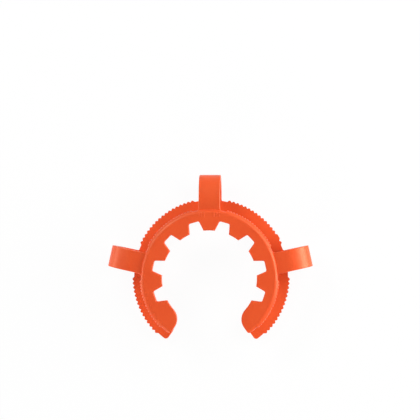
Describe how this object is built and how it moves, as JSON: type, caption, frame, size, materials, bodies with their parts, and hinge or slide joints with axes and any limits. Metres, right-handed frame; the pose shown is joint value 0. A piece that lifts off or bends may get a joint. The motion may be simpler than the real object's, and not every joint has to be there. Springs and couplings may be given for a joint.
{
  "type": "ground glass joint clip",
  "caption": "Orange plastic clip that holds a conical ground glass joint together: a toothed open plate and a wider open plate joined by bowed spring straps.",
  "frame": {"origin": "on the joint's axis, at the outer face of the larger plate, which the clip lies on", "axes": "+Z along the joint's axis from the larger plate to the toothed plate, +Y towards the middle strap, so the mouth faces -Y"},
  "size_m": [0.0694, 0.0558, 0.0145],
  "materials": {
    "acetal": "injection moulded acetal, satin gloss, orange"
  },
  "bodies": {
    "root": {"clip": "acetal"}
  },
  "joints": []
}
